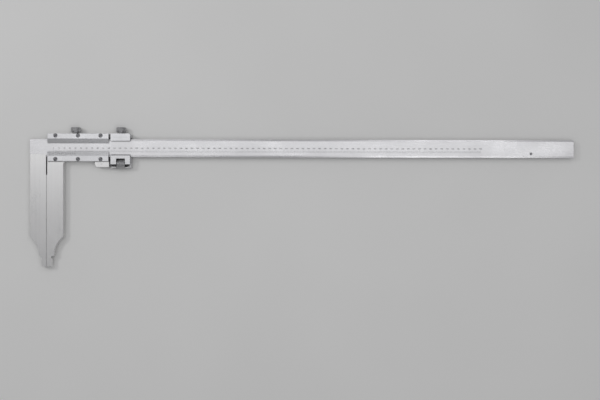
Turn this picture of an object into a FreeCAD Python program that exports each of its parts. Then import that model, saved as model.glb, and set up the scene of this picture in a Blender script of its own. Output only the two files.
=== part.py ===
"""A 0-750 mm long-jaw vernier caliper with nib tips and a fine-adjustment carriage, lying on its back.

Units are millimetres. +X runs along the beam, away from the jaws, and is the way the slider opens.
+Y points from the jaws to the beam. +Z is up, out of the graduated face.
The origin is where the fixed jaw's measuring plane (X = 0), the beam's lower edge (Y = 0) and the
surface that the caliper lies on (Z = 0) meet.

The beam and the fixed jaw are one body. The slider, with the moving jaw, travels along the beam.
The carriage follows the slider, and moves a few millimetres against it as the knurled nut turns on the
fine screw. A knurled clamp screw on the slider and another on the carriage each press a brass shoe on
a gib that lies on the beam's upper edge.
"""

import FreeCAD
import Part
import math
import os

# ---------------------------------------------------------------- driving dimensions
BEAM_H = 32.0  # height of the beam, along Y
BEAM_T = 8.0  # thickness of the beam, along Z
BEAM_RIGHT = 950.3  # far end of the beam
JAW_W = 30.2  # width of each jaw, along X
JAW_T = 10.0  # thickness of each jaw
JAW_DEPTH = 197.7  # from the beam's lower edge to the nib tips
FRAME_T = 16.8  # slider and carriage, back face to front face
PLATE_T = 3.5  # front plates of the slider and the carriage
SLIDE_CLEARANCE = 0.1  # between the beam and what slides on it, front, back and below
JAW_CLEARANCE = 0.02  # between the closed measuring faces
FIT_CLEARANCE = 0.01  # on the radius, between a fixed screw or pin and its hole
LOOSE_CLEARANCE = 0.05  # on the radius, around the clamp and cover screws

SEAT_Z = FRAME_T - PLATE_T  # the face that the front plates are screwed to
BEAM_Z1 = SEAT_Z - SLIDE_CLEARANCE
BEAM_Z0 = BEAM_Z1 - BEAM_T
MID_Z = (BEAM_Z0 + BEAM_Z1) / 2  # every clamp and adjusting axis lies in this plane
JAW_Z1 = BEAM_Z1  # the jaws are flush with the beam's graduated face
JAW_Z0 = JAW_Z1 - JAW_T
TINY = 0.01  # for telling which edges lie beyond a plane

# ---------------------------------------------------------------- beam and fixed jaw
BEAM_BEVEL_W = 3.0  # bevel along both front edges, across the face
BEAM_BEVEL_D = 0.7  # and into it
EDGE_BREAK = 0.4  # small chamfer where an edge is only broken
LAP_Y = 5.0  # the fixed jaw's front seam on the beam
LAP_Z = BEAM_Z1 - 4.0  # the fixed jaw's tongue lies behind this plane
LAP_TOP = BEAM_H - 1.0
LAP_PIN_R = 2.0
LAP_PIN_DEPTH = 2.5  # of each pin's hole in the beam
LAP_PINS = [(x, y) for x in (-24.0, -8.0) for y in (11.0, 25.0)]
STOP_X = 873.0
STOP_Y = 7.4
STOP_HEAD_R = 1.9
STOP_HEAD_H = 1.8
STOP_SHANK_R = 1.25
STOP_SLOT = (0.6, 0.8)  # width and depth of its screwdriver slot
STOP_TIP_Z = BEAM_Z0 + 2.5
STOP_HOLE_Z = BEAM_Z0 + 2.0

# ---------------------------------------------------------------- jaws
RELIEF = 1.2  # the jaws' inner edges are cut back this far beside the beam
RELIEF_BOTTOM = -33.0
NECK_X = 13.5  # half the closed pair's width at the end of the hollow curve
NECK_Y = -178.0
NECK_R = 43.0  # radius of the hollow curve from the jaw's full width to its neck
NIB_X = 10.0  # each nib's width, so the closed pair measures 20 mm
NIB_TOP = -182.5
NIB_UNDERCUT = 1.5
NIB_R = 8.5  # radius of the nib's inside-measuring face
JAW_CHAMFER = 0.5
FACE_CHAMFER = 0.4  # along the measuring faces

# ---------------------------------------------------------------- slider
SLIDE_X = (2.1, 112.4)
SLIDE_Y = (-8.0, 42.1)
GIB_SLOT_TOP = 34.0  # top of the channel, above the gib
BEVEL_EDGE_T = 0.3  # thickness of a front plate at the foot of its bevel
UPPER_BEVEL = (32.8, 24.6)  # Y at the head and foot of the upper plate's bevel
LOWER_BEVEL = (1.7, 9.7)
PLATE_SCREW_X = (16.8, 57.4, 98.0)
PLATE_SCREW_INSET = 3.9
PLATE_SCREW_R = 1.75
PLATE_HEAD_R = 3.4
PLATE_HEAD_DEPTH = 2.4  # of the counterbore
PLATE_HEAD_SUNK = 0.4
PLATE_HEAD_GAP = 0.25  # around the head, in its counterbore
PLATE_SLOT = (0.9, 0.9)
PLATE_TIP_Z = 6.5
PLATE_HOLE_Z = 6.0
FRAME_CHAMFER = 0.6  # of the slider's back edges
LUG_X0 = 86.6
LUG_BOTTOM = -18.5
LUG_CORNER = 6.0
ROOT_FILLET = 6.0  # between the moving jaw and the slider
SET_SCREW_X = (30.0, 84.0)
SET_SCREW_R = 2.0
SET_SCREW_SUNK = 0.8
SOCKET_R = 1.1  # hexagon socket, across its corners, halved
SOCKET_DEPTH = 2.3

# ---------------------------------------------------------------- clamps, alike on slider and carriage
CLAMP_R = 2.5
CLAMP_HEAD_R = 9.0
CLAMP_HEAD_Y = (45.6, 53.4)
CLAMP_COLLAR_R = 7.0
CLAMP_COLLAR_Y = 43.7
SHOE_Y = (33.85, 36.3)
GIB_Y = (BEAM_H + 0.03, 33.6)
GIB_T = 7.2
SLIDE_CLAMP_X = 51.7
CARRIAGE_CLAMP_X = 133.7

# ---------------------------------------------------------------- fine adjustment
FINE_Y = -13.0
FINE_R = 2.5
FINE_X = (92.0, 146.6)
FINE_PIN_X = 99.0
FINE_PIN_R = 1.25
NUT_R = 7.5
NUT_X = (126.3, 141.5)
NUT_CHAMFER = 1.0

# ---------------------------------------------------------------- carriage
CAR_X = (115.6, 152.2)
CAR_Y = (-20.1, 42.6)
CAR_LOW_Z = 2.0  # back face of the part below the beam, which is thinner
CAR_CORNER = 4.5
CAR_LOW_CORNER = 3.0
CAR_SMALL_CORNER = 1.2
CAR_FRONT_CHAMFER = 0.8  # of the body's front edges, which show beside the covers
NUT_SLOT_SIDE = 0.2
NUT_SLOT_TOP = -3.4
CHANNEL_Y = (-18.3, -9.0)
CHANNEL_Z0 = 5.5
CHANNEL_X1 = 150.2
COVER_X1 = 151.2
COVER_SCREW_X = (120.7, 146.6)
UPPER_COVER_Y = (28.6, CAR_Y[1] - 0.2)
LOWER_COVER_Y = (-13.5, 3.9)
COVER_BEVEL_W = 1.4
COVER_WINDOW_TOP = -2.9
UPPER_COVER_SCREW_Y = 38.3
LOWER_COVER_SCREW_Y = -4.3
COVER_SCREW_R = 1.5
COVER_HEAD_R = 2.8
COVER_HEAD_Z = (0.2, 1.9)
COVER_SLOT = (0.8, 0.8)
COVER_TIP_Z = FRAME_T - 1.2
COVER_HOLE_Z = FRAME_T - 0.9
COVER_BEVEL_D = 2.0
HEAD_CHAMFER = 0.3  # of every screw head, shoe and cover
SLOT_TURN = 35.0  # of every screwdriver slot from the beam's direction, in degrees


# ---------------------------------------------------------------- helpers
def vec(x, y, z=0.0):
    return FreeCAD.Vector(x, y, z)


def box(x, y, z):
    """A box from three (low, high) pairs."""
    return Part.makeBox(x[1] - x[0], y[1] - y[0], z[1] - z[0], vec(x[0], y[0], z[0]))


def rod(axis, place, span, radius):
    """A cylinder along the axis named; place is its other two coordinates, in X, Y, Z order."""
    length = span[1] - span[0]
    if axis == "x":
        return Part.makeCylinder(radius, length, vec(span[0], *place), vec(1, 0, 0))
    if axis == "y":
        return Part.makeCylinder(radius, length, vec(place[0], span[0], place[1]), vec(0, 1, 0))
    return Part.makeCylinder(radius, length, vec(place[0], place[1], span[0]), vec(0, 0, 1))


def quarter(corner, radius, start, end):
    """An outline's rounded corner, as plan() takes it; start and end are unit steps to its two ends."""
    begin = (corner[0] + radius * start[0], corner[1] + radius * start[1])
    finish = (corner[0] + radius * end[0], corner[1] + radius * end[1])
    inset = radius * (1 - math.sqrt(0.5))
    middle = (
        corner[0] + inset * (start[0] + end[0]),
        corner[1] + inset * (start[1] + end[1]),
    )
    return [begin, (middle, finish)]


def plan(points, z):
    """A prism over a plan outline. A point is (x, y), or ((x, y) on an arc, (x, y) at the arc's end)."""
    edges = []
    here = vec(*points[0])
    for item in list(points[1:]) + [points[0]]:
        if isinstance(item[0], tuple):
            through, end = vec(*item[0]), vec(*item[1])
            edges.append(Part.Arc(here, through, end).toShape())
        else:
            end = vec(*item)
            edges.append(Part.LineSegment(here, end).toShape())
        here = end
    face = Part.Face(Part.Wire(edges))
    face.translate(vec(0, 0, z[0]))
    return face.extrude(vec(0, 0, z[1] - z[0]))


def section(points, x):
    """A prism along X over a (y, z) outline."""
    wire = Part.makePolygon([vec(x[0], y, z) for y, z in list(points) + [points[0]]])
    return Part.Face(wire).extrude(vec(x[1] - x[0], 0, 0))


def turned(profile, centre, axis):
    """A solid of revolution from (radius, along) pairs, about an axis through centre."""
    wire = Part.makePolygon([vec(r, 0, a) for r, a in list(profile) + [profile[0]]])
    solid = Part.Face(wire).revolve(vec(0, 0, 0), vec(0, 0, 1), 360)
    solid.Placement = FreeCAD.Placement(vec(*centre), FreeCAD.Rotation(vec(0, 0, 1), vec(*axis)))
    return solid


def near(a, b):
    return abs(a - b) < 1e-4


def edges_where(shape, test):
    """Edges whose two ends and middle all pass a test on a point."""
    chosen = []
    for edge in shape.Edges:
        middle = edge.valueAt((edge.FirstParameter + edge.LastParameter) / 2)
        if test(middle) and all(test(v.Point) for v in edge.Vertexes):
            chosen.append(edge)
    return chosen


def chamfered(shape, size, test):
    return shape.makeChamfer(size, edges_where(shape, test))


def filleted(shape, size, test):
    return shape.makeFillet(size, edges_where(shape, test))


def slotted_screw(place, face_z, seat_z, tip_z, radii, slot):
    """A screw along Z with a slotted head. The head is from face_z to seat_z, the shank from there to
    tip_z. radii are the head's and the shank's, and slot is (width, depth)."""
    head_r, shank_r = radii
    width, depth = slot
    head = rod("z", place, sorted((face_z, seat_z)), head_r)
    head = chamfered(head, HEAD_CHAMFER, lambda p: near(p.z, face_z))
    inward = depth if seat_z > face_z else -depth
    cutter = box((-head_r, head_r), (-width / 2, width / 2), sorted((face_z, face_z + inward)))
    cutter.rotate(vec(0, 0), vec(0, 0, 1), SLOT_TURN)
    cutter.translate(vec(*place))
    return head.cut(cutter).fuse(rod("z", place, sorted((seat_z, tip_z)), shank_r))


def export(name, shape):
    solids = shape.Solids
    for solid in solids:
        if not solid.isValid() or solid.Volume <= 0:
            raise ValueError(name + " is not a valid solid")
    result = solids[0] if len(solids) == 1 else Part.makeCompound(solids)
    result.exportStep(os.path.join("parts", name + ".step"))
    print(name, len(solids), "solid(s)", round(sum(s.Volume for s in solids), 1), "mm3")


# ---------------------------------------------------------------- beam
def beam():
    outline = [
        (EDGE_BREAK, BEAM_Z0),
        (BEAM_H - EDGE_BREAK, BEAM_Z0),
        (BEAM_H, BEAM_Z0 + EDGE_BREAK),
        (BEAM_H, BEAM_Z1 - BEAM_BEVEL_D),
        (BEAM_H - BEAM_BEVEL_W, BEAM_Z1),
        (BEAM_BEVEL_W, BEAM_Z1),
        (0, BEAM_Z1 - BEAM_BEVEL_D),
        (0, BEAM_Z0 + EDGE_BREAK),
    ]
    bar = section(outline, (-JAW_W, BEAM_RIGHT))
    bar = chamfered(bar, EDGE_BREAK, lambda p: near(p.x, BEAM_RIGHT))
    # the left end is cut away below and behind for the fixed jaw's lap joint
    left = (-JAW_W - 1, -RELIEF)
    bar = bar.cut(box(left, (-1, LAP_Y), (0, FRAME_T)))
    bar = bar.cut(box(left, (-1, LAP_TOP), (0, LAP_Z)))
    for place in LAP_PINS:
        bar = bar.cut(rod("z", place, (LAP_Z - 1, LAP_Z + LAP_PIN_DEPTH), LAP_PIN_R))
    return bar.cut(rod("z", (STOP_X, STOP_Y), (STOP_HOLE_Z, FRAME_T), STOP_SHANK_R))


def stop_screw():
    face_z = BEAM_Z1 + STOP_HEAD_H
    radii = (STOP_HEAD_R, STOP_SHANK_R)
    return slotted_screw((STOP_X, STOP_Y), face_z, BEAM_Z1, STOP_TIP_Z, radii, STOP_SLOT)


# ---------------------------------------------------------------- jaws
def jaw(side, inner, head):
    """A jaw. side is -1 for the fixed one and +1 for the moving one, inner is its measuring face's |X|,
    and head closes the outline at the top, from the outer edge to the relief's edge."""
    centre_x = NECK_X + NECK_R
    rise = math.sqrt(NECK_R**2 - (centre_x - JAW_W) ** 2)
    half = (math.pi + math.atan2(rise, JAW_W - centre_x)) / 2
    through = (side * (centre_x + NECK_R * math.cos(half)), NECK_Y + NECK_R * math.sin(half))
    under = side * (NIB_X - NIB_UNDERCUT)
    outline = [
        (side * inner, -JAW_DEPTH),
        (side * NIB_X, -JAW_DEPTH),
        (side * NIB_X, NIB_TOP),
        (under, NIB_TOP + 0.9),
        (under, NECK_Y - 1.2),
        (side * NECK_X, NECK_Y - 0.6),
        (side * NECK_X, NECK_Y),
        (through, (side * JAW_W, NECK_Y + rise)),
        *head,
        (side * RELIEF, RELIEF_BOTTOM + RELIEF),
        (side * inner, RELIEF_BOTTOM),
    ]
    solid = plan(outline, (JAW_Z0, JAW_Z1))

    def on_face(p):
        return near(p.z, JAW_Z0) or near(p.z, JAW_Z1)

    solid = chamfered(
        solid,
        FACE_CHAMFER,
        lambda p: on_face(p) and near(p.x, side * inner) and p.y <= RELIEF_BOTTOM + TINY,
    )
    solid = chamfered(
        solid,
        JAW_CHAMFER,
        lambda p: on_face(p) and abs(p.x) > NECK_X - TINY and p.y > NECK_Y - TINY,
    )
    return solid.cut(nib_waste(side))


def nib_waste(side):
    """What is ground off a nib so that its outer face is part of a cylinder."""
    across = sorted((side * NIB_X / 2, side * (NIB_X + 1)))
    blank = box(across, (-JAW_DEPTH - 1, NIB_TOP + TINY), (JAW_Z0 - 1, JAW_Z1 + 1))
    axis = (side * (NIB_X - NIB_R), (JAW_Z0 + JAW_Z1) / 2)
    return blank.cut(rod("y", axis, (-JAW_DEPTH - 2, NIB_TOP + 1), NIB_R))


def fixed_jaw():
    solid = jaw(-1, 0.0, [(-JAW_W, LAP_Y), (-RELIEF, LAP_Y)])
    tongue = box((-JAW_W, -RELIEF), (LAP_Y - 2, LAP_TOP), (JAW_Z0, LAP_Z))
    tongue = chamfered(tongue, JAW_CHAMFER, lambda p: near(p.z, JAW_Z0) and p.y > LAP_Y)
    solid = solid.fuse(tongue)
    for place in LAP_PINS:
        solid = solid.cut(rod("z", place, (JAW_Z0 - 1, LAP_Z + 1), LAP_PIN_R))
    return solid.removeSplitter()


def fixed_jaw_pins():
    span = (JAW_Z0, LAP_Z + LAP_PIN_DEPTH - 0.1)
    return Part.makeCompound([rod("z", place, span, LAP_PIN_R - FIT_CLEARANCE) for place in LAP_PINS])


# ---------------------------------------------------------------- slider
def moving_jaw():
    fillet = quarter(
        (JAW_W, SLIDE_Y[0]),
        ROOT_FILLET,
        (0, -1),
        (1, 0),
    )
    inside = SLIDE_Y[0] + 2
    head = [
        *fillet,
        (JAW_W + ROOT_FILLET, inside),
        (SLIDE_X[0], inside),
        (SLIDE_X[0], SLIDE_Y[0]),
        (RELIEF, SLIDE_Y[0]),
    ]
    return jaw(1, JAW_CLEARANCE, head)


def lug():
    """The ear under the slider's right end, which holds the fine screw."""
    inside = SLIDE_Y[0] + 1
    outline = [
        (LUG_X0, inside),
        *quarter((LUG_X0, LUG_BOTTOM), LUG_CORNER, (0, 1), (1, 0)),
        (SLIDE_X[1], LUG_BOTTOM),
        (SLIDE_X[1], inside),
    ]
    solid = plan(outline, (JAW_Z0, JAW_Z1))

    def outer_edge(p):
        on_face = near(p.z, JAW_Z0) or near(p.z, JAW_Z1)
        on_rim = p.x < SLIDE_X[1] - TINY and p.y < inside - TINY
        on_bottom = near(p.y, LUG_BOTTOM) and not near(p.x, SLIDE_X[1])
        return on_face and on_rim or on_bottom

    return chamfered(solid, EDGE_BREAK, outer_edge)


def slider_body():
    frame = box(SLIDE_X, SLIDE_Y, (0, SEAT_Z))
    frame = chamfered(frame, FRAME_CHAMFER, lambda p: near(p.z, 0))
    solid = frame.fuse([moving_jaw(), lug()])
    beyond = (SLIDE_X[0] - 1, SLIDE_X[1] + 1)
    channel = box(beyond, (-SLIDE_CLEARANCE, GIB_SLOT_TOP), (BEAM_Z0 - SLIDE_CLEARANCE, FRAME_T))
    solid = solid.cut(channel)
    above = (GIB_SLOT_TOP - 1, SLIDE_Y[1] + 1)
    for x in PLATE_SCREW_X:
        for y in (SLIDE_Y[1] - PLATE_SCREW_INSET, SLIDE_Y[0] + PLATE_SCREW_INSET):
            solid = solid.cut(rod("z", (x, y), (PLATE_HOLE_Z, FRAME_T), PLATE_SCREW_R + FIT_CLEARANCE))
    for x in SET_SCREW_X:
        solid = solid.cut(rod("y", (x, MID_Z), above, SET_SCREW_R + FIT_CLEARANCE))
    solid = solid.cut(rod("y", (SLIDE_CLAMP_X, MID_Z), above, CLAMP_R + LOOSE_CLEARANCE))
    solid = solid.cut(rod("x", (FINE_Y, MID_Z), (FINE_X[0], beyond[1]), FINE_R + FIT_CLEARANCE))
    solid = solid.cut(rod("z", (FINE_PIN_X, FINE_Y), (0, FRAME_T), FINE_PIN_R + FIT_CLEARANCE))
    return solid.removeSplitter()


def front_plate(outer, bevel, screw_y):
    """A plate on SEAT_Z, with a bevel from its full thickness at bevel[0] to a thin edge at bevel[1]."""
    outline = [
        (outer, SEAT_Z),
        (outer, FRAME_T),
        (bevel[0], FRAME_T),
        (bevel[1], SEAT_Z + BEVEL_EDGE_T),
        (bevel[1], SEAT_Z),
    ]

    def front_edge(p):
        return near(p.z, FRAME_T) and (near(p.y, outer) or any(near(p.x, end) for end in SLIDE_X))

    solid = chamfered(section(outline, SLIDE_X), EDGE_BREAK, front_edge)
    counterbore = (FRAME_T - PLATE_HEAD_DEPTH, FRAME_T + 1)
    for x in PLATE_SCREW_X:
        solid = solid.cut(rod("z", (x, screw_y), (0, FRAME_T + 1), PLATE_SCREW_R + LOOSE_CLEARANCE))
        solid = solid.cut(rod("z", (x, screw_y), counterbore, PLATE_HEAD_R + PLATE_HEAD_GAP))
    return solid


def plate_screws(y):
    """Three slotted cheese-head screws, sunk a little below the plate's face."""
    face_z = FRAME_T - PLATE_HEAD_SUNK
    seat_z = FRAME_T - PLATE_HEAD_DEPTH
    radii = (PLATE_HEAD_R, PLATE_SCREW_R)
    return Part.makeCompound(
        [slotted_screw((x, y), face_z, seat_z, PLATE_TIP_Z, radii, PLATE_SLOT) for x in PLATE_SCREW_X]
    )


def gib(x):
    """The strip between the beam's upper edge and what bears on it."""
    return box((x[0] + 1, x[1] - 1), GIB_Y, (MID_Z - GIB_T / 2, MID_Z + GIB_T / 2))


def gib_set_screws():
    """Two headless screws with hexagon sockets, under the slider's upper edge."""
    low, high = GIB_Y[1] + FIT_CLEARANCE, SLIDE_Y[1] - SET_SCREW_SUNK
    screws = []
    for x in SET_SCREW_X:
        ring = [k * math.pi / 3 for k in range(7)]
        points = [vec(x + SOCKET_R * math.cos(a), high, MID_Z + SOCKET_R * math.sin(a)) for a in ring]
        socket = Part.Face(Part.makePolygon(points)).extrude(vec(0, -SOCKET_DEPTH, 0))
        screws.append(rod("y", (x, MID_Z), (low, high), SET_SCREW_R).cut(socket))
    return Part.makeCompound(screws)


# ---------------------------------------------------------------- clamps
def clamp_shoe(x):
    shoe = rod("y", (x, MID_Z), SHOE_Y, CLAMP_R - 0.03)
    return chamfered(shoe, HEAD_CHAMFER, lambda p: near(p.y, SHOE_Y[0]))


def clamp_screw(x):
    low, high = CLAMP_HEAD_Y
    r = CLAMP_HEAD_R
    dish = 0.6
    profile = [
        (0, SHOE_Y[1]),
        (CLAMP_R - 0.4, SHOE_Y[1]),
        (CLAMP_R, SHOE_Y[1] + 0.4),
        (CLAMP_R, CLAMP_COLLAR_Y),
        (CLAMP_COLLAR_R, CLAMP_COLLAR_Y),
        (CLAMP_COLLAR_R, low),
        (r - 0.8, low),
        (r, low + 0.8),
        (r, high - 1.8),
        (r - 0.6, high - 0.7),
        (r - 1.8, high),
        (r - 3.6, high),
        (r - 4.2, high - dish),
        (0, high - dish),
    ]
    return turned(profile, (x, 0, MID_Z), (0, 1, 0))


# ---------------------------------------------------------------- fine adjustment
def fine_screw():
    screw = rod("x", (FINE_Y, MID_Z), FINE_X, FINE_R)
    screw = chamfered(screw, 0.5, lambda p: near(p.x, FINE_X[1]))
    return screw.cut(rod("z", (FINE_PIN_X, FINE_Y), (0, FRAME_T), FINE_PIN_R + FIT_CLEARANCE))


def fine_screw_pin():
    return rod("z", (FINE_PIN_X, FINE_Y), (JAW_Z0 + 0.1, JAW_Z1 - 0.1), FINE_PIN_R)


def fine_nut():
    half = (NUT_X[1] - NUT_X[0]) / 2
    bore = FINE_R + 0.06
    profile = [
        (bore, -half),
        (NUT_R - NUT_CHAMFER, -half),
        (NUT_R, -half + NUT_CHAMFER),
        (NUT_R, half - NUT_CHAMFER),
        (NUT_R - NUT_CHAMFER, half),
        (bore, half),
    ]
    return turned(profile, (sum(NUT_X) / 2, FINE_Y, MID_Z), (1, 0, 0))


# ---------------------------------------------------------------- carriage
def carriage_outline():
    left, right = CAR_X
    bottom, top = CAR_Y
    return [
        *quarter((left, bottom), CAR_SMALL_CORNER, (0, 1), (1, 0)),
        *quarter((right, bottom), CAR_LOW_CORNER, (-1, 0), (0, 1)),
        *quarter((right, top), CAR_CORNER, (0, -1), (-1, 0)),
        *quarter((left, top), CAR_SMALL_CORNER, (1, 0), (0, -1)),
    ]


def carriage_body():
    left, right = CAR_X
    solid = plan(carriage_outline(), (0, SEAT_Z))
    solid = chamfered(solid, EDGE_BREAK, lambda p: near(p.z, 0))
    solid = chamfered(solid, CAR_FRONT_CHAMFER, lambda p: near(p.z, SEAT_Z) and p.x > left + 0.1)
    beyond = (left - 1, right + 1)
    solid = solid.cut(box(beyond, (CAR_Y[0] - 1, SLIDE_Y[0]), (-1, CAR_LOW_Z)))
    channel = box(beyond, (-SLIDE_CLEARANCE, GIB_SLOT_TOP), (BEAM_Z0 - SLIDE_CLEARANCE, FRAME_T))
    solid = solid.cut(channel)
    nut_slot = (NUT_X[0] - NUT_SLOT_SIDE, NUT_X[1] + NUT_SLOT_SIDE)
    solid = solid.cut(box(nut_slot, (CAR_Y[0] - 1, NUT_SLOT_TOP), (-1, FRAME_T)))
    solid = solid.cut(box((left - 1, CHANNEL_X1), CHANNEL_Y, (CHANNEL_Z0, FRAME_T)))
    above = (GIB_SLOT_TOP - 1, CAR_Y[1] + 1)
    solid = solid.cut(rod("y", (CARRIAGE_CLAMP_X, MID_Z), above, CLAMP_R + LOOSE_CLEARANCE))
    for place in cover_screw_places():
        solid = solid.cut(rod("z", place, (-1, FRAME_T), COVER_SCREW_R + LOOSE_CLEARANCE))
        solid = solid.cut(rod("z", place, (-1, COVER_HEAD_Z[1]), COVER_HEAD_R + 0.1))
    return solid.removeSplitter()


def cover_screw_places():
    return [(x, y) for x in COVER_SCREW_X for y in (UPPER_COVER_SCREW_Y, LOWER_COVER_SCREW_Y)]


def carriage_cover(y, corners):
    """A front cover over y, with rounded corners, and its front edges broken."""
    x = (CAR_X[0], COVER_X1)
    solid = box(x, y, (SEAT_Z, FRAME_T))
    for place, radius in corners:
        solid = filleted(solid, radius, lambda p: near(p.x, place[0]) and near(p.y, place[1]))
    solid = chamfered(solid, HEAD_CHAMFER, lambda p: near(p.z, FRAME_T))
    for place in cover_screw_places():
        solid = solid.cut(rod("z", place, (SEAT_Z - 1, COVER_HOLE_Z), COVER_SCREW_R + FIT_CLEARANCE))
    return solid


def carriage_upper_cover():
    y = UPPER_COVER_Y
    corners = [((CAR_X[0], y[0]), 1.2), ((COVER_X1, y[0]), 1.2), ((COVER_X1, y[1]), 3.2)]
    return carriage_cover(y, corners)


def carriage_lower_cover():
    low, high = LOWER_COVER_Y
    solid = carriage_cover((low, high), [((COVER_X1, low), 0.6)])
    side = NUT_SLOT_SIDE + 0.1
    window = box((NUT_X[0] - side, NUT_X[1] + side), (low - 1, COVER_WINDOW_TOP), (0, FRAME_T + 1))
    foot = FRAME_T - COVER_BEVEL_D
    outline = [(high + 1, FRAME_T + 1), (high - COVER_BEVEL_W, FRAME_T), (high, foot), (high + 1, foot)]
    bevel = section(outline, (CAR_X[0] - 1, COVER_X1 + 1))
    return solid.cut(window).cut(bevel)


def carriage_cover_screws():
    """Four screws from the back, with their heads just under the carriage's back face."""
    radii = (COVER_HEAD_R, COVER_SCREW_R)
    places = cover_screw_places()
    return Part.makeCompound(
        [slotted_screw(place, *COVER_HEAD_Z, COVER_TIP_Z, radii, COVER_SLOT) for place in places]
    )


# ---------------------------------------------------------------- the whole caliper
UPPER_SCREW_Y = SLIDE_Y[1] - PLATE_SCREW_INSET
LOWER_SCREW_Y = SLIDE_Y[0] + PLATE_SCREW_INSET

NODES = {
    "beam": beam,
    "fixed_jaw": fixed_jaw,
    "fixed_jaw_pins": fixed_jaw_pins,
    "stop_screw": stop_screw,
    "slider_body": slider_body,
    "upper_plate": lambda: front_plate(SLIDE_Y[1], UPPER_BEVEL, UPPER_SCREW_Y),
    "lower_vernier_plate": lambda: front_plate(SLIDE_Y[0], LOWER_BEVEL, LOWER_SCREW_Y),
    "upper_plate_screws": lambda: plate_screws(UPPER_SCREW_Y),
    "lower_plate_screws": lambda: plate_screws(LOWER_SCREW_Y),
    "slider_gib": lambda: gib(SLIDE_X),
    "gib_set_screws": gib_set_screws,
    "slider_clamp_shoe": lambda: clamp_shoe(SLIDE_CLAMP_X),
    "slider_clamp_screw": lambda: clamp_screw(SLIDE_CLAMP_X),
    "fine_screw": fine_screw,
    "fine_screw_pin": fine_screw_pin,
    "fine_nut": fine_nut,
    "carriage_body": carriage_body,
    "carriage_upper_cover": carriage_upper_cover,
    "carriage_lower_cover": carriage_lower_cover,
    "carriage_cover_screws": carriage_cover_screws,
    "carriage_gib": lambda: gib(CAR_X),
    "carriage_clamp_shoe": lambda: clamp_shoe(CARRIAGE_CLAMP_X),
    "carriage_clamp_screw": lambda: clamp_screw(CARRIAGE_CLAMP_X),
}

os.makedirs("parts", exist_ok=True)
for name, make in NODES.items():
    export(name, make())
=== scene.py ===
"""Looks for a long-jaw vernier caliper that lies on its back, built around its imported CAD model.

Everything is in metres, in the CAD's own frame: +X along the beam, +Y from the jaws to the beam, +Z up.
The CAD nodes keep their shapes and get materials here. The etched scales, the knurled and threaded
pieces, the floor, the lights and the camera are made here.
"""

import math

import bmesh
import bpy
from mathutils import Matrix, Vector

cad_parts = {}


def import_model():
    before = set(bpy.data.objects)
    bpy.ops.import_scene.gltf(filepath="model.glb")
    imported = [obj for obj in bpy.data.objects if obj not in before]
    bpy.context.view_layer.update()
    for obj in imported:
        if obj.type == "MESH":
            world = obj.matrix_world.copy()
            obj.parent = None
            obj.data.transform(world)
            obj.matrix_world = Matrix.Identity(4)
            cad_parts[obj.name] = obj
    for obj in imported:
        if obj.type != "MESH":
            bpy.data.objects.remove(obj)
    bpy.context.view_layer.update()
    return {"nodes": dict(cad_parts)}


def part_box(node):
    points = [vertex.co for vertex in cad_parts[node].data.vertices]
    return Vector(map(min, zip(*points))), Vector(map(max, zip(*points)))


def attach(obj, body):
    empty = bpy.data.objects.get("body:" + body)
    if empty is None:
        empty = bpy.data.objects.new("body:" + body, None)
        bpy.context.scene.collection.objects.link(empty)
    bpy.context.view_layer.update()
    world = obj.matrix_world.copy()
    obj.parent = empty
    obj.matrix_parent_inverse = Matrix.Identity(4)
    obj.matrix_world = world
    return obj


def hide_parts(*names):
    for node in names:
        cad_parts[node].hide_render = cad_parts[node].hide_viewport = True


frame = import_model()

MM = 0.001
BEAM_LOW, BEAM_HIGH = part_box("beam")

# ---------------------------------------------------------------- main scale and vernier, in millimetres
SCALE_ZERO = 12.0  # X of the zero line, on the beam and on the vernier
SCALE_END = 770  # last graduation
SCALE_FOOT = 8.2  # Y where every line begins, under the vernier plate's edge
SCALE_TOPS = {1: 11.6, 5: 12.5, 10: 13.4}  # Y where the lines of each rank end
SCALE_NUMERAL_Y = 15.7
SCALE_NUMERAL_SIZE = 3.0
LINE_WIDTH = 0.12
NUMERAL_WELD = 1e-4  # points nearer than this become one, as a part of the numerals' size
NUMERAL_WEIGHT = 0.012  # how much the strokes are thickened, as a part of the numerals' size
VERNIER_DIVISIONS = 20
VERNIER_SPAN = 39.0
VERNIER_LONG = 3.0  # the lines that have a numeral, from the plate's thin edge
VERNIER_SHORT = 2.1
VERNIER_NUMERAL_BACK = 4.5  # from the thin edge to the middle of the numerals
VERNIER_NUMERAL_SIZE = 2.6
MARK_PROUD = 0.015  # how far the enamel in the etched lines stands above the metal
MARK_SUNK = 0.03


# ---------------------------------------------------------------- mesh helpers
def add_piece(name, vertices, faces, material, body, smooth=False):
    """A mesh object that rides on a CAD body."""
    mesh = bpy.data.meshes.new(name)
    mesh.from_pydata(vertices, [], faces)
    mesh.update()
    mesh.materials.append(material)
    for polygon in mesh.polygons:
        polygon.use_smooth = smooth
    piece = bpy.data.objects.new(name, mesh)
    bpy.context.scene.collection.objects.link(piece)
    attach(piece, body)
    return piece


class Plane:
    """A flat place on the metal, with its own u and v in millimetres, to draw marks on."""

    def __init__(self, origin, v_axis):
        self.origin = Vector(origin)
        self.u = Vector((1, 0, 0))
        self.v = Vector(v_axis).normalized()
        self.n = self.u.cross(self.v)

    def at(self, u, v, n):
        return self.origin + (self.u * u + self.v * v + self.n * n) * MM

    def matrix(self, u, v, n):
        turn = Matrix((self.u, self.v, self.n)).transposed().to_4x4()
        return Matrix.Translation(self.at(u, v, n)) @ turn @ Matrix.Scale(MM, 4)


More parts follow.
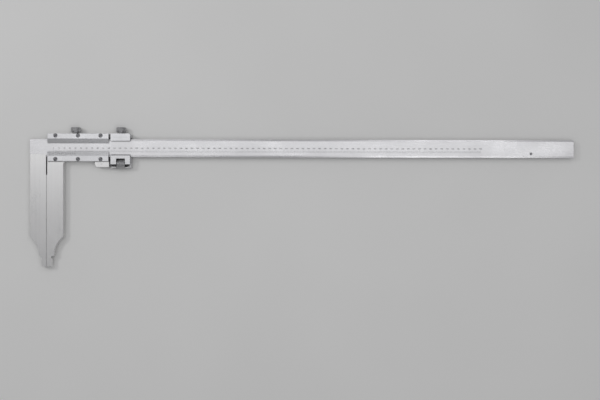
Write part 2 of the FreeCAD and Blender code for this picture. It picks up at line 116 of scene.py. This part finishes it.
def add_line(plane, u, v_from, v_to, width, vertices, faces):
    """One graduation: a thin closed bar along v."""
    start = len(vertices)
    for n in (-MARK_SUNK, MARK_PROUD):
        for du, v in ((-1, v_from), (1, v_from), (1, v_to), (-1, v_to)):
            vertices.append(plane.at(u + du * width / 2, v, n))
    quads = ((3, 2, 1, 0), (4, 5, 6, 7), (0, 1, 5, 4), (1, 2, 6, 5), (2, 3, 7, 6), (3, 0, 4, 7))
    faces.extend([tuple(start + k for k in quad) for quad in quads])


def add_numeral(plane, text, u, v, size, vertices, faces):
    """A number, centred on u and v, as thin closed solids."""
    curve = bpy.data.curves.new("numeral", "FONT")
    curve.body = text
    curve.size = size
    curve.align_x = "CENTER"
    curve.align_y = "CENTER"
    curve.extrude = (MARK_SUNK + MARK_PROUD) / 2
    curve.offset = NUMERAL_WEIGHT * size
    curve.resolution_u = 3
    curve.space_character = 1.05
    holder = bpy.data.objects.new("numeral", curve)
    bpy.context.scene.collection.objects.link(holder)
    graph = bpy.context.evaluated_depsgraph_get()
    mesh = bpy.data.meshes.new_from_object(holder.evaluated_get(graph))
    welded = bmesh.new()
    welded.from_mesh(mesh)
    bmesh.ops.remove_doubles(welded, verts=welded.verts, dist=NUMERAL_WELD * size)
    welded.to_mesh(mesh)
    welded.free()
    place = plane.matrix(u, v, (MARK_PROUD - MARK_SUNK) / 2)
    start = len(vertices)
    vertices.extend([place @ vertex.co for vertex in mesh.vertices])
    faces.extend([tuple(start + k for k in polygon.vertices) for polygon in mesh.polygons])
    bpy.data.objects.remove(holder)
    bpy.data.curves.remove(curve)
    bpy.data.meshes.remove(mesh)


# ---------------------------------------------------------------- materials
ALONG_X = (0.02, 1.0, 1.0)
ALONG_Y = (1.0, 0.02, 1.0)
EVERY_WAY = (1.0, 1.0, 1.0)
SHADE_REACH = 2.5  # how far from a wall the painted shade in a corner spreads, in millimetres
# the near-black that the painted shade in gaps and corners darkens the metal towards
SHADE_COLOUR = (0.03, 0.03, 0.032)
GRAIN_LINES = 5200.0  # noise scales, in cycles per metre
GRAIN_BANDS = 210.0
CLOUDS = 24.0
WORN_RADIUS = 0.2  # of the worn edges, in millimetres
WORN_GAIN = 1.1  # how much brighter a worn edge is


def shader(name):
    material = bpy.data.materials.new(name)
    material.use_nodes = True
    tree = material.node_tree
    return material, tree, tree.nodes["Principled BSDF"]


def link(tree, source, target):
    tree.links.new(source, target)


def noise(tree, scale, stretch, detail=3.0, roughness=0.55):
    """Noise over the object's own coordinates, in cycles per metre, stretched along each axis."""
    coordinates = tree.nodes.new("ShaderNodeTexCoord")
    mapping = tree.nodes.new("ShaderNodeMapping")
    mapping.inputs["Scale"].default_value = [scale * s for s in stretch]
    texture = tree.nodes.new("ShaderNodeTexNoise")
    texture.inputs["Scale"].default_value = 1.0
    texture.inputs["Detail"].default_value = detail
    texture.inputs["Roughness"].default_value = roughness
    link(tree, coordinates.outputs["Object"], mapping.inputs["Vector"])
    link(tree, mapping.outputs["Vector"], texture.inputs["Vector"])
    return texture.outputs["Fac"]


def ranged(tree, value, low, high, from_low=0.3, from_high=0.7):
    node = tree.nodes.new("ShaderNodeMapRange")
    node.inputs["From Min"].default_value = from_low
    node.inputs["From Max"].default_value = from_high
    node.inputs["To Min"].default_value = low
    node.inputs["To Max"].default_value = high
    link(tree, value, node.inputs["Value"])
    return node.outputs["Result"]


def mixed(tree, factor, first, second):
    """A colour between two colours or colour outputs."""
    node = tree.nodes.new("ShaderNodeMix")
    node.data_type = "RGBA"
    link(tree, factor, node.inputs["Factor"])
    sockets = [socket for socket in node.inputs if socket.type == "RGBA"]
    for socket, value in zip(sockets, (first, second)):
        if isinstance(value, bpy.types.NodeSocket):
            link(tree, value, socket)
        else:
            socket.default_value = (*value, 1.0)
    return [socket for socket in node.outputs if socket.type == "RGBA"][0]


def worn_edges(tree, radius):
    """1 near an edge of the metal and 0 away from it, with the rounded normal of the edge."""
    bevel = tree.nodes.new("ShaderNodeBevel")
    bevel.samples = 4
    bevel.inputs["Radius"].default_value = radius
    geometry = tree.nodes.new("ShaderNodeNewGeometry")
    dot = tree.nodes.new("ShaderNodeVectorMath")
    dot.operation = "DOT_PRODUCT"
    link(tree, bevel.outputs["Normal"], dot.inputs[0])
    link(tree, geometry.outputs["Normal"], dot.inputs[1])
    return ranged(tree, dot.outputs["Value"], 1.0, 0.0, 0.85, 0.995), bevel.outputs["Normal"]


def grime(tree, base, reach):
    """Painted shade: darkens a colour in narrow gaps and at the foot of a step, where shade falls."""
    hollow = tree.nodes.new("ShaderNodeAmbientOcclusion")
    hollow.samples = 6
    hollow.inputs["Distance"].default_value = reach * MM
    factor = ranged(tree, hollow.outputs["AO"], 1.0, 0.0, 0.35, 0.9)
    return mixed(tree, factor, base, SHADE_COLOUR)


def metal(name, colour, roughness, grain, grain_depth, mottle=0.05, reach=SHADE_REACH):
    """Satin metal. grain says how the fine lines stretch, such as (0.02, 1, 1) for lines along X."""
    material, tree, bsdf = shader(name)
    bsdf.inputs["Metallic"].default_value = 1.0
    lines = noise(tree, GRAIN_LINES, grain, 4.0)
    bands = noise(tree, GRAIN_BANDS, grain, 2.0)
    clouds = noise(tree, CLOUDS, EVERY_WAY, 3.0)
    edge, edge_normal = worn_edges(tree, WORN_RADIUS * MM)
    dark = [c * (1 - mottle) for c in colour]
    light = [min(1.0, c * (1 + mottle)) for c in colour]
    base = mixed(tree, ranged(tree, bands, 0.0, 1.0), dark, light)
    base = mixed(tree, ranged(tree, clouds, 0.0, 0.5), base, [c * (1 - 2 * mottle) for c in colour])
    base = mixed(tree, edge, base, [min(1.0, c * WORN_GAIN) for c in colour])
    # the base colour is darkened by painted shade in gaps and corners before it reaches the shader
    link(tree, grime(tree, base, reach), bsdf.inputs["Base Color"])
    add = tree.nodes.new("ShaderNodeMath")
    add.operation = "ADD"
    link(tree, ranged(tree, lines, -0.05, 0.05), add.inputs[0])
    link(tree, ranged(tree, clouds, roughness - 0.03, roughness + 0.04), add.inputs[1])
    link(tree, add.outputs["Value"], bsdf.inputs["Roughness"])
    bump = tree.nodes.new("ShaderNodeBump")
    bump.inputs["Distance"].default_value = grain_depth
    link(tree, lines, bump.inputs["Height"])
    link(tree, edge_normal, bump.inputs["Normal"])
    link(tree, bump.outputs["Normal"], bsdf.inputs["Normal"])
    return material


def enamel():
    """The black paint that fills the etched lines."""
    material, tree, bsdf = shader("black_enamel")
    bsdf.inputs["Roughness"].default_value = 0.55
    specks = noise(tree, 3000.0, EVERY_WAY)
    base = mixed(tree, ranged(tree, specks, 0.0, 1.0), (0.012, 0.012, 0.014), (0.045, 0.045, 0.05))
    link(tree, base, bsdf.inputs["Base Color"])
    return material


def floor_paper():
    """A plain pale floor, with the faintest tooth."""
    material, tree, bsdf = shader("pale_floor")
    bsdf.inputs["Roughness"].default_value = 0.85
    bsdf.inputs["Specular IOR Level"].default_value = 0.2
    cloud = noise(tree, 3.0, EVERY_WAY, 2.0)
    base = mixed(tree, ranged(tree, cloud, 0.0, 1.0), (0.90, 0.90, 0.89), (0.93, 0.93, 0.92))
    link(tree, base, bsdf.inputs["Base Color"])
    return material


# reach sets how far the painted shade in corners spreads on each metal, in millimetres
beam_metal = metal("beam_satin", (0.760, 0.757, 0.775), 0.30, ALONG_X, 0.004 * MM, 0.03)
jaw_metal = metal("jaw_ground", (0.840, 0.837, 0.837), 0.33, ALONG_Y, 0.004 * MM, 0.03)
frame_metal = metal("frame_ground", (0.720, 0.720, 0.730), 0.33, ALONG_X, 0.004 * MM, reach=4.0)
plate_metal = metal("plate_satin_chrome", (0.740, 0.742, 0.760), 0.28, ALONG_X, 0.003 * MM)
screw_metal = metal("screw_steel", (0.26, 0.26, 0.275), 0.34, EVERY_WAY, 0.004 * MM)
knurl_metal = metal("knurled_steel", (0.45, 0.45, 0.46), 0.30, EVERY_WAY, 0.003 * MM, reach=0.6)
nut_metal = metal("nut_steel", (0.56, 0.56, 0.57), 0.30, EVERY_WAY, 0.003 * MM, reach=0.8)
brass_metal = metal("turned_brass", (0.78, 0.58, 0.27), 0.30, EVERY_WAY, 0.003 * MM)
black = enamel()

NODE_METALS = {
    "beam": beam_metal,
    "fixed_jaw": jaw_metal,
    "fixed_jaw_pins": frame_metal,
    "stop_screw": screw_metal,
    "slider_body": jaw_metal,
    "upper_plate": plate_metal,
    "lower_vernier_plate": plate_metal,
    "upper_plate_screws": screw_metal,
    "lower_plate_screws": screw_metal,
    "slider_gib": frame_metal,
    "gib_set_screws": screw_metal,
    "slider_clamp_shoe": brass_metal,
    "slider_clamp_screw": knurl_metal,
    "fine_screw": screw_metal,
    "fine_screw_pin": frame_metal,
    "fine_nut": nut_metal,
    "carriage_body": frame_metal,
    "carriage_upper_cover": plate_metal,
    "carriage_lower_cover": plate_metal,
    "carriage_cover_screws": screw_metal,
    "carriage_gib": frame_metal,
    "carriage_clamp_shoe": brass_metal,
    "carriage_clamp_screw": knurl_metal,
}
for node, material in NODE_METALS.items():
    mesh = frame["nodes"][node].data
    mesh.materials.clear()
    mesh.materials.append(material)


# ---------------------------------------------------------------- etched scales
def main_scale():
    plane = Plane((0, BEAM_LOW.y, BEAM_HIGH.z), (0, 1, 0))
    vertices, faces = [], []
    for value in range(SCALE_END + 1):
        rank = 10 if value % 10 == 0 else 5 if value % 5 == 0 else 1
        add_line(plane, SCALE_ZERO + value, SCALE_FOOT, SCALE_TOPS[rank], LINE_WIDTH, vertices, faces)
        if rank == 10:
            u = SCALE_ZERO + value
            add_numeral(plane, str(value), u, SCALE_NUMERAL_Y, SCALE_NUMERAL_SIZE, vertices, faces)
    add_piece("main_scale", vertices, faces, black, "beam")


def vernier_scale():
    plate_low, plate_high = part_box("lower_vernier_plate")
    corners = [v.co for v in frame["nodes"]["lower_vernier_plate"].data.vertices]
    head_y = max(c.y for c in corners if c.z > plate_high.z - 0.01 * MM)
    foot_z = max(c.z for c in corners if c.y > plate_high.y - 0.01 * MM)
    slope = Vector((0, plate_high.y - head_y, foot_z - plate_high.z))
    plane = Plane((0, head_y, plate_high.z), slope)
    foot = slope.length / MM
    vertices, faces = [], []
    for k in range(VERNIER_DIVISIONS + 1):
        u = SCALE_ZERO + k * VERNIER_SPAN / VERNIER_DIVISIONS
        length = VERNIER_LONG if k % 2 == 0 else VERNIER_SHORT
        add_line(plane, u, foot - length, foot - 0.1, LINE_WIDTH, vertices, faces)
        if k % 2 == 0:
            numeral_v = foot - VERNIER_NUMERAL_BACK
            add_numeral(plane, str(k // 2), u, numeral_v, VERNIER_NUMERAL_SIZE, vertices, faces)
    add_piece("vernier_scale", vertices, faces, black, "slider")


main_scale()
vernier_scale()


# ---------------------------------------------------------------- knurled and threaded pieces, in mm
SHARP_ANGLE = math.radians(32)  # a steeper edge than this is shaded sharp
KNURL_DEPTH = 0.30
KNURL_STEPS = 8  # mesh segments around one tooth
THREAD_DEPTH = 0.28
THREAD_STEPS = 6  # rings along one turn
CLAMP_SHANK_R = 2.5
CLAMP_SHANK_RINGS = 54
CLAMP_PITCH = 0.8
CLAMP_COLLAR_R = 7.0
CLAMP_COLLAR_LENGTH = 1.9
CLAMP_HEAD_LENGTH = 7.8
CLAMP_CROWN = 1.1  # rounding of the head's outer edge
CLAMP_DISH = 0.6  # depth of the head's dished top
CLAMP_TEETH = 60
NUT_BORE_R = 2.56
NUT_TEETH = 50
FINE_PLAIN_PART = 20.0  # of the fine screw, in the slider's lug
FINE_PITCH = 0.5
FINE_SEGMENTS = 32


def turned_piece(name, node, axis, profile, surface, segments, material, body, closed=False):
    """A turned piece that stands for a CAD node, about the node's own axis.

    profile is a list of (radius, distance along the axis) in millimetres, and surface gives the cut in
    the metal, in millimetres, at an angle and a distance. A closed profile is a ring with a bore."""
    low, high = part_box(node)
    centre = (low + high) / 2
    turn = Vector((0, 0, 1)).rotation_difference(axis).to_matrix().to_4x4()
    start = centre - axis * (high - low).dot(axis) / 2
    place = Matrix.Translation(start) @ turn
    vertices, faces = [], []
    for radius, along in profile:
        for k in range(segments):
            angle = 2 * math.pi * k / segments
            cut = radius - surface(angle, radius, along)
            vertices.append(place @ (Vector((cut * math.cos(angle), cut * math.sin(angle), along)) * MM))
    rings = len(profile)
    for ring in range(rings if closed else rings - 1):
        a, b = ring * segments, (ring + 1) % rings * segments
        for k in range(segments):
            after = (k + 1) % segments
            faces.append((a + k, a + after, b + after, b + k))
    if not closed:
        faces.append(tuple(reversed(range(segments))))
        faces.append(tuple(range((rings - 1) * segments, rings * segments)))
    piece = add_piece(name, vertices, faces, material, body, smooth=True)
    piece.data.set_sharp_from_angle(angle=SHARP_ANGLE)
    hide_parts(node)


def spread(start, end, steps):
    """Points from start to end, both kept."""
    return [[a + (b - a) * k / steps for a, b in zip(start, end)] for k in range(steps + 1)]


def triangle_wave(x):
    """0 at whole numbers, 1 half way between them."""
    return 1 - abs(2 * (x % 1.0) - 1)


def knurl(teeth, radius, first, last):
    """Straight grooves in a rim of the radius named, between two distances along the axis.

    A flat land as wide as each groove is left between the grooves."""

    def cut(angle, here, along):
        if here < radius - 0.01 or not first <= along <= last:
            return 0.0
        return KNURL_DEPTH * max(0.0, 2 * triangle_wave(angle / (2 * math.pi) * teeth) - 1)

    return cut


def thread(pitch, radius, first, last):
    """A fine thread on a shank of the radius named, between two distances along the axis."""

    def cut(angle, here, along):
        if here < radius - 0.01 or not first <= along <= last:
            return 0.0
        fade = min(1.0, (along - first) / pitch, (last - along) / pitch)
        return THREAD_DEPTH * fade * triangle_wave(along / pitch - angle / (2 * math.pi))

    return cut


def clamp_screw(which, body):
    """A knurled clamp screw: threaded shank, collar, and a head with a dished top."""
    node = which + "_clamp_screw"
    low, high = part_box(node)
    length = (high.y - low.y) / MM
    head_r = (high.x - low.x) / MM / 2
    shank_r, collar_r, crown = CLAMP_SHANK_R, CLAMP_COLLAR_R, CLAMP_CROWN
    head_from = length - CLAMP_HEAD_LENGTH
    collar_from = head_from - CLAMP_COLLAR_LENGTH
    profile = [(shank_r - 0.5, 0.0)]
    profile += spread((shank_r, 0.5), (shank_r, collar_from - 0.3), CLAMP_SHANK_RINGS)
    profile += [(shank_r + 0.3, collar_from), (collar_r - 0.25, collar_from), (collar_r, collar_from + 0.25)]
    profile += [(collar_r, head_from), (head_r - 0.75, head_from), (head_r - 0.45, head_from + 0.05)]
    profile += [(head_r, head_from + 0.5), (head_r, head_from + 0.52), (head_r, length - crown - 0.02)]
    profile += [(head_r, length - crown)]
    rounding = [math.radians(a) for a in range(15, 91, 15)]
    profile += [(head_r - crown * (1 - math.cos(a)), length - crown * (1 - math.sin(a))) for a in rounding]
    profile += [(head_r - 3.4, length), (head_r - 3.7, length - 0.12), (head_r - 4.3, length - CLAMP_DISH)]
    profile += [(1.2, length - CLAMP_DISH), (0.9, length - 0.75), (0.05, length - 0.75)]
    grooves = knurl(CLAMP_TEETH, head_r, head_from + 0.51, length - crown - 0.01)
    turns = thread(CLAMP_PITCH, shank_r, 0.6, collar_from - 0.5)

    def surface(angle, here, along):
        return turns(angle, here, along) if along < collar_from else grooves(angle, here, along)

    name = "knurled_" + which + "_clamp_screw"
    axis = Vector((0, 1, 0))
    segments = CLAMP_TEETH * KNURL_STEPS
    turned_piece(name, node, axis, profile, surface, segments, knurl_metal, body)


def fine_nut():
    """The knurled adjusting nut, a ring with a bore."""
    low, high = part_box("fine_nut")
    length = (high.x - low.x) / MM
    nut_r = (high.y - low.y) / MM / 2
    bore = NUT_BORE_R
    profile = [(bore, 0.4), (bore + 0.4, 0.0), (nut_r - 1.1, 0.0), (nut_r - 0.6, 0.25)]
    profile += [(nut_r, 0.85), (nut_r, 0.87), (nut_r, length - 0.87), (nut_r, length - 0.85)]
    profile += [(nut_r - 0.6, length - 0.25), (nut_r - 1.1, length), (bore + 0.4, length)]
    profile += [(bore, length - 0.4)]
    surface = knurl(NUT_TEETH, nut_r, 0.86, length - 0.86)
    turned_piece(
        "knurled_fine_nut", "fine_nut", Vector((1, 0, 0)), profile, surface,
        NUT_TEETH * KNURL_STEPS, nut_metal, "nut", closed=True,
    )


def fine_screw():
    """The fine adjusting screw: a plain end in the slider's lug, and a 0.5 mm thread out to the nut."""
    low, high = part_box("fine_screw")
    length = (high.x - low.x) / MM
    screw_r = (high.y - low.y) / MM / 2
    plain_part = FINE_PLAIN_PART
    rings = int((length - plain_part - 0.6) / FINE_PITCH * THREAD_STEPS)
    profile = [(screw_r - 0.3, 0.0), (screw_r, 0.3)]
    profile += spread((screw_r, plain_part), (screw_r, length - 0.6), rings)
    profile += [(screw_r - 0.5, length)]
    surface = thread(FINE_PITCH, screw_r, plain_part + 0.2, length - 0.7)
    turned_piece(
        "threaded_fine_screw", "fine_screw", Vector((1, 0, 0)), profile, surface, FINE_SEGMENTS,
        screw_metal, "slider",
    )


clamp_screw("slider", "slider_knob")
clamp_screw("carriage", "carriage_knob")
fine_nut()
fine_screw()


# ---------------------------------------------------------------- floor
FLOOR_SIZE = 6.0


def stage():
    bpy.ops.mesh.primitive_plane_add(size=FLOOR_SIZE, location=((BEAM_LOW.x + BEAM_HIGH.x) / 2, 0, 0))
    floor = bpy.context.object
    floor.name = "floor"
    floor.data.materials.append(floor_paper())


stage()


# ---------------------------------------------------------------- light
def softbox(name, x, y, width, depth, watts):
    """A softbox that hangs level under the ceiling, and shines straight down."""
    data = bpy.data.lights.new(name, "AREA")
    data.shape = "RECTANGLE"
    data.size, data.size_y = width, depth
    data.energy = watts
    light = bpy.data.objects.new(name, data)
    light.location = (x, y, CEILING)
    bpy.context.scene.collection.objects.link(light)


def world(strength, colour):
    scene_world = bpy.data.worlds.new("studio")
    scene_world.use_nodes = True
    background = scene_world.node_tree.nodes["Background"]
    background.inputs["Color"].default_value = (*colour, 1.0)
    background.inputs["Strength"].default_value = strength
    bpy.context.scene.world = scene_world


CEILING = 1.7  # height of every softbox
SOFTBOXES = {  # centre X and Y, size in X and Y, and watts
    "overhead": (0.60, 0.25, 2.50, 0.50, 3.8),
    "left": (-1.20, 0.70, 0.5, 0.5, 8.0),
    "right_front": (1.00, -0.60, 0.8, 0.5, 2.1),
    "right_rear": (1.05, 1.05, 0.5, 0.5, 1.4),
    "rear": (-0.20, 1.40, 0.8, 0.5, 2.0),
    "front": (-0.20, -0.90, 0.5, 0.4, 0.8),
}
for name, (x, y, width, depth, watts) in SOFTBOXES.items():
    softbox(name, x, y, width, depth, watts)
world(0.27, (0.98, 0.98, 1.0))
bpy.context.scene.view_settings.view_transform = "Standard"

# ---------------------------------------------------------------- camera
CAMERA_HEIGHT = 1.502  # above the graduated face
CAMERA_PLACE = (0.4569, -0.0768)
CAMERA_ROLL = math.radians(0.134)
LENS = 50.0


def camera():
    data = bpy.data.cameras.new("camera")
    data.lens = LENS
    data.sensor_width = 36.0
    data.clip_end = 20.0
    looker = bpy.data.objects.new("camera", data)
    looker.location = (*CAMERA_PLACE, BEAM_HIGH.z + CAMERA_HEIGHT)
    looker.rotation_euler = (0, 0, CAMERA_ROLL)
    bpy.context.scene.collection.objects.link(looker)
    bpy.context.scene.camera = looker


camera()
